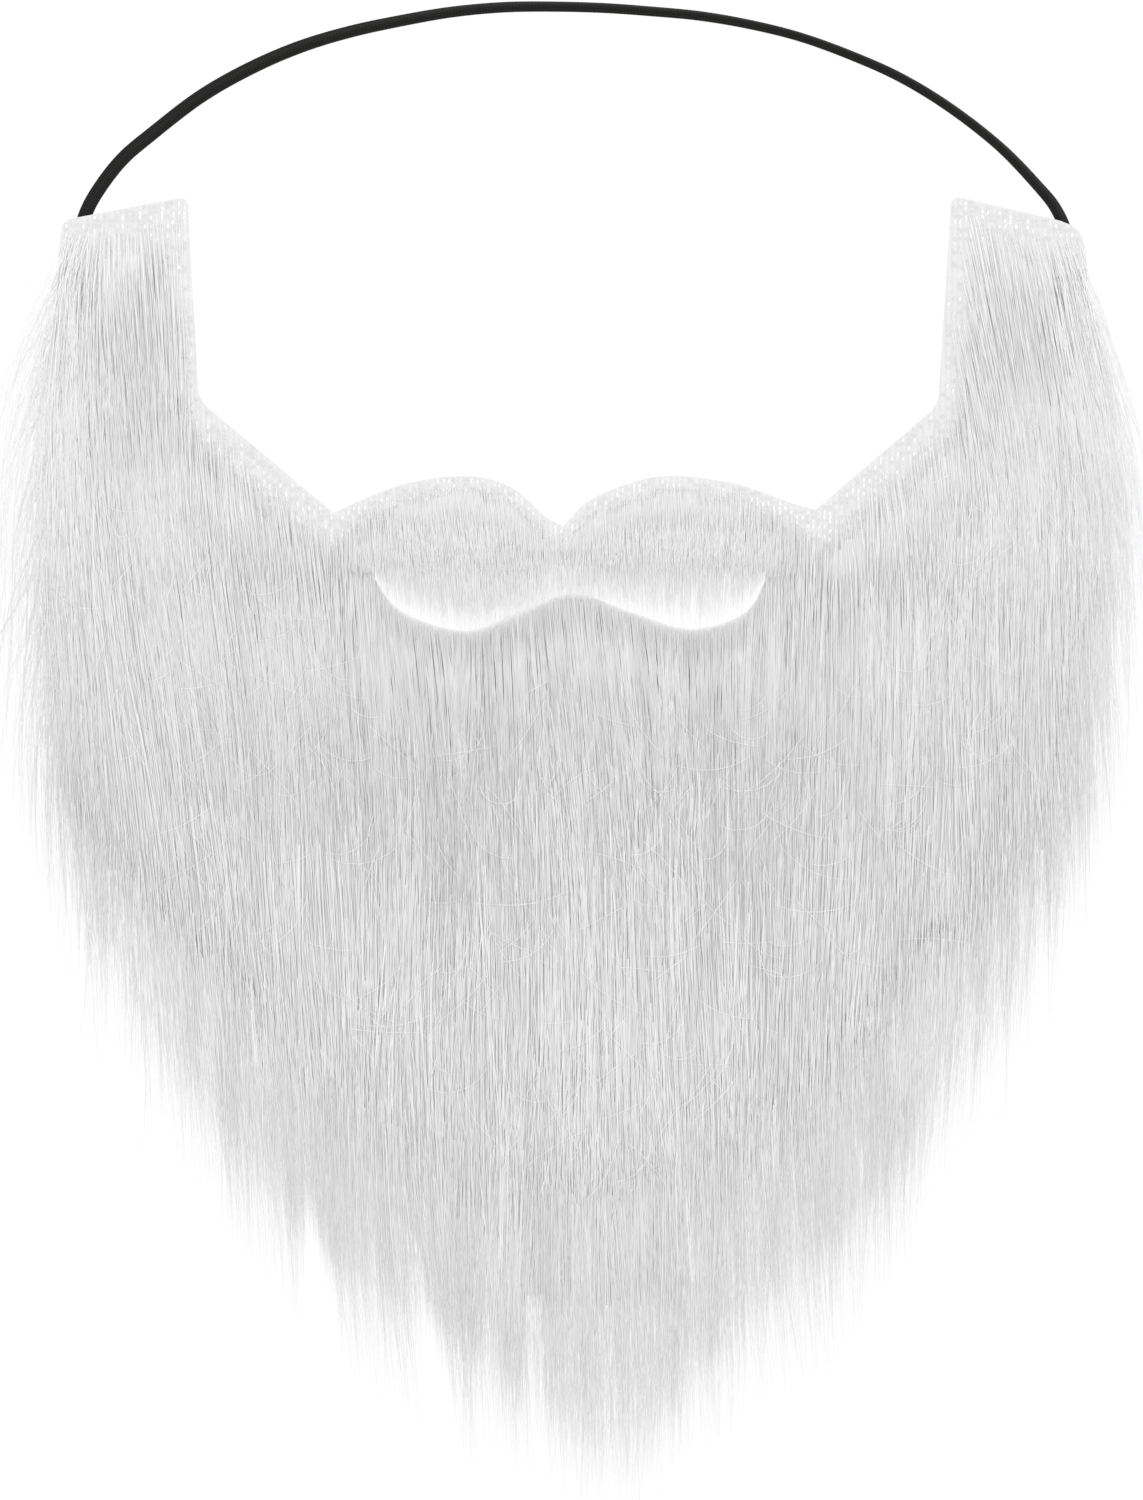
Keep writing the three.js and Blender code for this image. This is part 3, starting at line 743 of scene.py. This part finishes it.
def pile_lines(x, y, short, uneven, wispy):
    """Which hairs of the beard keep clear of the mouth, and the lines, lengths, depths, shades and widths of all."""
    big, small = (clumps(x, y, size) for size in CLUMP_SIZES)
    line = combed_lines(x, y, big, small, wispy)
    length, wisp, share = pile_lengths(x, y, line, big, small, short, uneven, wispy)
    even = 1.0 - 0.5 * smoothstep(50.0, 100.0, y)
    sink = rng.uniform(0.0, PILE_SINK, len(x)) + by_clump(SINK_SPREAD["small"], small)
    sink = even * (sink + by_clump(SINK_SPREAD["big"], big))
    shade = pile_shades(x, y, even, big, small)
    thick = rng.uniform(*HAIR_VARIES, len(x)) * np.where(wisp, WISP_THICKNESS, 1.0)
    thick = thick * np.where(wispy, 0.5 + 0.5 * share, 1.0)
    clear = reach_of(-mouth_edge(line[..., 0], line[..., 1])) > length
    return clear, line, length, sink, shade, thick


def along_line(values, spots):
    """Values sampled along each line, read at spots in mm along it."""
    place = np.clip(spots / STEP, 0.0, SAMPLES - 1.001)
    low = place.astype(int)
    share = place - low
    row = np.arange(len(values))[:, None]
    return values[row, low] * (1 - share) + values[row, low + 1] * share


def cloth_top(x, y):
    """The height on which hair lies, in mm: the cloth's top, or the floor beyond its edge."""
    return (CLOTH_THICKNESS + cloth_lift(y)) * smoothstep(-20.0, 0.5, cloth_edge(x, y))


def upper_edge(x, y):
    """How far from the upper cut edges a point lies, in mm."""
    return np.minimum.reduce([edge(x, y) for edge in (left_top, right_top, left_cheek, right_cheek, moustache_top)])


def root_distance(x, y):
    """How far below the pile's upper edges and the lip a point lies, in mm."""
    return np.minimum(upper_edge(x, y), LIP_STEEPNESS * np.abs(mouth_edge(x, y)))


def pile_swell(x, y):
    """The depth of the pile over the cloth or the floor, in mm."""
    span = 26.0 + 44.0 * smoothstep(10.0, -70.0, y)
    room = np.clip((pile_edge(x, y) + 2.0) / span, 0.0, 1.0)
    rise = 1.0 - np.exp(-(root_distance(x, y) / PILE_SLOPE) ** 1.5)
    return PILE_DEPTH * np.sin(room * np.pi / 2) * rise


def pile_heights(line, sink):
    """How high each hair runs along its line, in mm: from the cloth up to the face of the pile, and then along it."""
    x, y = line[..., 0], line[..., 1]
    swell = pile_swell(x, y)
    depth = swell - sink[:, None] * np.sqrt(swell / PILE_DEPTH)
    return cloth_top(x, y) + HAIR_LIFT + np.maximum(depth, 0.0) * smoothstep(0.0, RISE_RUN, REACH)


def hair_paths(line, height, length, hair):
    spots = length[:, None] * hair["stations"]
    return np.stack([along_line(line[..., 0], spots), along_line(line[..., 1], spots), along_line(height, spots)], 2)


def pile_finish(name, dark, light):
    finish = Finish(name, Roughness=0.6, Specular_IOR_Level=0.0)
    shade, along = finish.flat("OFBake")
    # The roots are painted lighter: painted light against the shade between the hairs near the cloth
    level = dark + (light - dark) * shade.between(0.0, 1.0) + 0.04 * (1 - along.between(0.05, 0.4))
    finish.feed("Base Color", finish.grey(level))
    return finish


def beard_roots():
    """Where the beard's hairs are rooted, in mm, with their thickness, shortness, unevenness and looseness."""
    spots = []
    for zone, roots in ROOTS.items():
        x, y = scatter(roots["spacing"])
        upper = upper_edge(x, y)
        lip, outer = np.abs(mouth_edge(x, y)), outer_edge(x, y)
        chin = np.where(np.abs(x) < CHIN_ROOTS_HALF, outer, np.inf)
        edges = {"all_over": np.zeros_like(x), "lip": lip, "lip_rim": lip,
                 "outer": outer, "upper": upper, "chin": chin}
        keep = smoothstep(*roots["start"], upper) * smoothstep(0.1, 0.6, outer)
        keep *= smoothstep(0.1, 0.4, -mouth_edge(x, y))
        if roots["wispy"]:
            keep *= 1.0 - 0.3 * smoothstep(0.0, 30.0, y)
        under_nose = (np.abs(x) < MOUSTACHE_HALF) & (y > MOUSTACHE_FOOT)
        near = edges[zone] <= roots.get("band", 1.0)
        kept = (rng.uniform(size=len(x)) < keep) & (cloth_edge(x, y) > 0.2) & near & ~under_nose
        habit = [np.full(kept.sum(), roots[trait]) for trait in ("thick", "short", "uneven", "wispy")]
        spots.append(np.stack([x[kept], y[kept], *habit]))
    return np.concatenate(spots, axis=1)


beard_white = pile_finish("beard_white", 0.68, 0.95)
root_x, root_y, root_thick, root_short, root_uneven, root_wispy = beard_roots()
clear, pile_line, pile_length, pile_sink, pile_shade, pile_thick = pile_lines(
    root_x, root_y, root_short, root_uneven, root_wispy > 0)
pile_path = hair_paths(pile_line, pile_heights(pile_line, pile_sink), pile_length, LONG_HAIR)
pile_taper = np.where(root_wispy[:, None] > 0, WISP_TAPER, LONG_HAIR["taper"])
pile_radius = HAIR_RADIUS * pile_taper * (pile_thick * root_thick)[:, None]
PARTS = {
    "fur_left_sideburn": (root_x < 0) & (root_y > CHEEK_TOP),
    "fur_right_sideburn": (root_x >= 0) & (root_y > CHEEK_TOP),
    "fur_left_cheek": (root_x < -CHIN_PART_HALF) & (root_y <= CHEEK_TOP),
    "fur_right_cheek": (root_x > CHIN_PART_HALF) & (root_y <= CHEEK_TOP),
    "fur_chin": (np.abs(root_x) <= CHIN_PART_HALF) & (root_y <= CHEEK_TOP),
}
for part, chosen in PARTS.items():
    chosen = chosen & clear
    piece = fibres(part, pile_path[chosen], pile_radius[chosen], pile_shade[chosen], beard_white)
    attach(piece, "root")
    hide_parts("beard_fur")


def core_finish(name, base, painted_light_above):
    finish = Finish(name, Roughness=0.8, Specular_IOR_Level=0.0)
    spot = finish.node("ShaderNodeTexCoord", output="Object")
    combed_spot = finish.node("ShaderNodeMapping", sockets={"Vector": spot, "Scale": (1900.0, 90.0, 900.0)})
    streak = finish.node("ShaderNodeTexNoise", sockets={"Vector": combed_spot, "Scale": 1.0, "Detail": 3.0})
    _, y, _ = finish.place()
    # The underfur is painted lighter higher up: painted light against the shade in the gaps between the hairs over it
    level = base + 0.12 * streak.between(0.3, 0.7) + painted_light_above * y.between(15.0, 75.0)
    finish.feed("Base Color", finish.grey(level))
    finish.relief(streak, 0.0004, 0.8)
    return finish


def underfur(name, depth_of, inside_of, finish):
    """The close underfur, which fills a pile to a little below its face."""
    low, high = CORE_BOX
    gx, gy = np.meshgrid(*(np.arange(low[i], high[i], CORE_CELL) for i in range(2)), indexing="ij")
    depth = depth_of(gx, gy)
    depth = depth - np.minimum(CORE_SINK, CORE_SINK_SHARE * depth)
    inside = (depth > 0.12) & inside_of(gx, gy)
    ring = inside.copy()
    ring[1:-1, 1:-1] &= inside[:-2, 1:-1] & inside[2:, 1:-1] & inside[1:-1, :-2] & inside[1:-1, 2:]
    ground = cloth_top(gx, gy)
    base = np.maximum(ground - 0.4, 0.02)
    top = np.where(ring, ground + np.maximum(depth, 0.0) + 0.1, np.maximum(ground - 0.2, 0.06))
    count = gx.size
    vertices = np.concatenate([np.stack([gx, gy, level], -1).reshape(-1, 3) for level in (top, base)])
    number = np.arange(count).reshape(gx.shape)
    cell = inside[:-1, :-1] & inside[1:, :-1] & inside[1:, 1:] & inside[:-1, 1:]
    quads = np.stack([number[:-1, :-1], number[1:, :-1], number[1:, 1:], number[:-1, 1:]], -1)[cell]
    edges = np.stack([quads, np.roll(quads, -1, axis=1)], -1).reshape(-1, 2)
    key = np.sort(edges, axis=1) @ [count, 1]
    _, first, uses = np.unique(key, return_index=True, return_counts=True)
    rim = edges[first[uses == 1]]
    walls = np.stack([rim[:, 1], rim[:, 0], rim[:, 0] + count, rim[:, 1] + count], 1)
    faces = np.concatenate([quads, quads[:, ::-1] + count, walls])
    used, faces = np.unique(faces, return_inverse=True)
    return mesh_piece(name, vertices[used], [faces.reshape(-1, 4)], finish)


def hair_face(x, y):
    """The height of the pile's face, in mm, less what straight runs of hair cut off its curves."""
    def face_at(level):
        return cloth_top(x, level) + pile_swell(x, level)

    face = face_at(y)
    lowest = face
    for above, below in STRAIGHT_RUNS:
        chord = (face_at(y + above) * below + face_at(y - below) * above) / (above + below)
        lowest = np.where(pile_edge(x, y + above) > 0.0, np.minimum(lowest, chord), lowest)
    return (face + lowest) / 2


def beard_core_depth(x, y):
    low = smoothstep(20.0, -60.0, y)
    ragged = 0.5 + 0.25 * np.sin(x * 0.83 + 0.7) + 0.25 * np.sin(x * 0.31 + y * 0.02 + 2.1)
    foot = pile_edge(x, y) - RAGGED_FOOT * ragged * (0.4 + 0.6 * low)
    fringe = smoothstep(6.0 + 25.0 * low, 13.0 + 25.0 * low, foot)
    start = smoothstep(1.0, 8.0, upper_edge(x, y)) * smoothstep(5.0, 20.0, np.abs(mouth_edge(x, y)))
    return (hair_face(x, y) - cloth_top(x, y)) * start * fringe


def beard_core_inside(x, y):
    under_nose = (np.abs(x) < MOUSTACHE_HALF) & (y > CHEEK_TOP)
    return (pile_edge(x, y) > 6.0) & (mouth_edge(x, y) < -2.0) & ~under_nose


def moustache_swell(x, y):
    """The depth of the moustache's pile over its strip, in mm."""
    return MOUSTACHE_DEPTH * (1.0 - np.exp(-(moustache_top(x, y) / MOUSTACHE_SLOPE) ** 1.5))


def moustache_core_inside(x, y):
    strip = (np.abs(x) < MOUSTACHE_HALF - 3.0) & (y > MOUSTACHE_EDGE)
    return strip & (mouth_edge(x, y) < -0.8) & (cloth_edge(x, y) > 2.0)


core = underfur("underfur", beard_core_depth, beard_core_inside, core_finish("underfur_white", 0.71, 0.07))
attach(core, "root")
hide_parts("beard_fur")
lip_core = underfur("moustache_underfur", moustache_swell, moustache_core_inside,
                    core_finish("moustache_underfur_white", 0.69, 0.0))
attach(lip_core, "root")
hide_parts("moustache_fur")


def stray_hairs(finish):
    """Fine loose hairs that curl across the face of the pile."""
    x, y = rng.uniform(-112.0, 112.0, 4 * STRAYS), rng.uniform(-70.0, 110.0, 4 * STRAYS)
    fits = (cloth_edge(x, y) > 8.0) & (mouth_edge(x, y) < -14.0) & (root_distance(x, y) > 12.0)
    x, y = x[fits][:STRAYS], y[fits][:STRAYS]
    count, stations = len(x), 7
    along = np.linspace(0.0, 1.0, stations)
    start = np.radians(rng.normal(0.0, 40.0, count))
    turn = np.radians(rng.normal(0.0, 60.0, count))
    angle = start[:, None] + turn[:, None] * along
    step = rng.uniform(*STRAY_LENGTH, count)[:, None] / (stations - 1)
    px = x[:, None] + np.cumsum(step * np.sin(angle), axis=1)
    py = y[:, None] - np.cumsum(step * np.cos(angle), axis=1)
    hump = rng.uniform(*STRAY_HUMP, count)[:, None] * np.sin(np.pi * along)
    pz = cloth_top(px, py) + 0.25 + pile_swell(px, py) + hump
    inside = (mouth_edge(px, py) < -6.0).all(1) & (pile_edge(px, py) > 12.0).all(1)
    radius = np.array([0.8, 1.0, 1.0, 1.0, 0.9, 0.7, 0.0]) * rng.uniform(*STRAY_RADIUS, (count, 1))
    paths = np.stack([px, py, pz], 2)[inside]
    return fibres("fur_strays", paths, radius[inside], rng.uniform(0.85, 0.97, inside.sum()), finish, flatness=0.6)


strays = stray_hairs(beard_white)
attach(strays, "root")
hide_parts("beard_fur")


def moustache_fur(finish):
    """Short fine hair from the moustache's strip, which hangs into the mouth hole and thins out towards the lip."""
    x, y = scatter(MOUSTACHE_SPACING)
    keep = smoothstep(0.5, 4.5, moustache_top(x, y)) * (cloth_edge(x, y) > 0.3) * (mouth_edge(x, y) < -0.3)
    keep *= smoothstep(MOUSTACHE_HALF + 10.0, MOUSTACHE_HALF, np.abs(x)) * (y > MOUSTACHE_FOOT)
    kept = rng.uniform(size=len(x)) < keep
    x, y = x[kept], y[kept]
    small, small_x, small_y = clumps(x, y, MOUSTACHE_CLUMP)
    small_line = combed(small_x, small_y, np.radians(rng.normal(-1.5, 1.5, len(small_x))))
    line = gathered(small_line[small], x, y, small_x[small], small_y[small], np.full(len(x), 0.5))
    line[..., 0] += np.sin(np.radians(rng.normal(0.0, 1.6, len(x))))[:, None] * REACH
    right = smoothstep(-10.0, 10.0, x)
    middle = np.exp(-((x - MOUSTACHE_MIDDLE) / MIDDLE_HALF) ** 2)
    hanging = MOUSTACHE_EDGE - rng.exponential(1.0, len(x)) * (MOUSTACHE_HANG - RIGHT_HANGS_LESS * right)
    is_tucked = rng.uniform(size=len(x)) < TUCKED - TUCKED_LESS_RIGHT * right + TUCKED_MORE_MIDDLE * middle
    lip = spline(LOWER_LIP)
    lip_line = np.interp(x, lip[:, 0], lip[:, 1])
    tucked = lip_line - TUCKED_PAST + TUCKED_SHORT * rng.uniform(size=len(x)) * (1.0 - middle)
    end = np.where(is_tucked, tucked, np.maximum(hanging, lip_line + 0.25))
    length = np.maximum(y - end, STUBBLE)
    sink = rng.uniform(0.0, 0.12, len(x)) + rng.normal(0.0, 0.02, len(small_x))[small]
    px, py = line[..., 0], line[..., 1]
    depth = np.maximum(moustache_swell(px, py) - sink[:, None], 0.0) * smoothstep(0.0, 4.0, REACH) + 0.2
    height = depth * smoothstep(48.0, 68.0, py) + CLOTH_THICKNESS * smoothstep(58.0, 65.0, py) + 0.15
    shade = 0.5 + rng.normal(0.0, 0.04, len(small_x))[small] + rng.normal(0.0, 0.04, len(x))
    radius = MOUSTACHE_RADIUS * SHORT_HAIR["taper"] * rng.uniform(0.7, 1.3, (len(x), 1))
    paths = hair_paths(line, height, length, SHORT_HAIR)
    return fibres("fur_moustache", paths, radius, np.clip(shade, *SHADE_LIMITS), finish)


moustache = moustache_fur(pile_finish("moustache_white", 0.84, 0.905))
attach(moustache, "root")
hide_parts("moustache_fur")


def knit_edge(finish):
    """The stitches of the ground cloth that show beside its cut edges: chains of small loops, two legs each."""
    low, high = CLOTH.min(0), CLOTH.max(0)
    gx, gy = np.meshgrid(np.arange(low[0], high[0], KNIT_WALE), np.arange(low[1], high[1], KNIT_COURSE), indexing="ij")
    x, y = gx.ravel(), gy.ravel()
    quiet = smoothstep(84.0, 100.0, y) * smoothstep(146.0, 139.0, y)
    fits = (cloth_edge(x, y) > 0.7) & (mouth_edge(x, y) < -0.9) & (upper_edge(x, y) < KNIT_BAND)
    fits &= rng.uniform(size=len(x)) < STITCHES_SHOWN[0] - STITCHES_SHOWN[1] * quiet
    quiet = quiet[fits]
    x, y = x[fits] + rng.normal(0.0, 0.06, fits.sum()), y[fits] + rng.normal(0.0, 0.08, fits.sum())
    across = np.array([0.0, 0.3, 0.36, 0.16])
    up = np.array([-0.5, -0.1, 0.3, 0.62])
    lift = np.array([0.02, 0.16, 0.2, 0.05])
    lean = rng.normal(0.0, 0.12, len(x))[:, None]
    proud_and_highlit = rng.uniform(size=len(x)) < STITCHES_PROUD_AND_HIGHLIT[0] - STITCHES_PROUD_AND_HIGHLIT[1] * quiet
    legs, shades = [], []
    for side in (-1.0, 1.0):
        px = x[:, None] + side * across * np.where(proud_and_highlit, 0.45, 0.9)[:, None] + lean * up
        py = y[:, None] + up
        pz = CLOTH_THICKNESS + cloth_lift(py) + lift
        legs.append(np.stack([px, py, pz], 2))
        # Proud stitches are painted lighter: a painted highlight
        shades.append(np.clip(rng.normal(0.25, 0.12, len(x)) + 0.6 * proud_and_highlit, *SHADE_LIMITS))
    size = rng.uniform(0.55, 0.85, 2 * len(x)) + 0.4 * np.tile(proud_and_highlit, 2)
    radius = STITCH_RADIUS * np.array([0.9, 1.0, 1.0, 0.0]) * size[:, None]
    return fibres("knit_edge", np.concatenate(legs), radius, np.concatenate(shades), finish, flatness=0.8)


knit = knit_edge(pile_finish("knit_yarn", 0.81, 0.97))
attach(knit, "root")
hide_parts("backing")

# Floor and light

floor_white = Finish("floor_white", Roughness=0.9, Specular_IOR_Level=0.0, Base_Color=(0.03, 0.03, 0.03, 1.0),
                     Emission_Color=(1.0, 1.0, 1.0, 1.0), Emission_Strength=FLOOR_GLOW)
deselect()
bpy.ops.mesh.primitive_plane_add(size=FLOOR_SIZE)
floor = bpy.context.object
floor.name = "floor"
floor.data.materials.append(floor_white.material)

world = bpy.data.worlds.new("studio")
bpy.context.scene.world = world
world.use_nodes = True
world.node_tree.nodes["Background"].inputs["Color"].default_value = (1.0, 1.0, 1.0, 1.0)
world.node_tree.nodes["Background"].inputs["Strength"].default_value = SKY_STRENGTH


def soft_light(name, place, size, power):
    """A square light that faces the origin."""
    bpy.ops.object.light_add(type="AREA", location=place)
    light = bpy.context.object
    light.name = name
    light.data.size = size
    light.data.energy = power
    light.rotation_euler = (-Vector(place)).to_track_quat("-Z", "Y").to_euler()


for name, light in LIGHTS.items():
    soft_light(name, **light)

bpy.context.scene.view_settings.view_transform = "Standard"

bpy.context.view_layer.update()
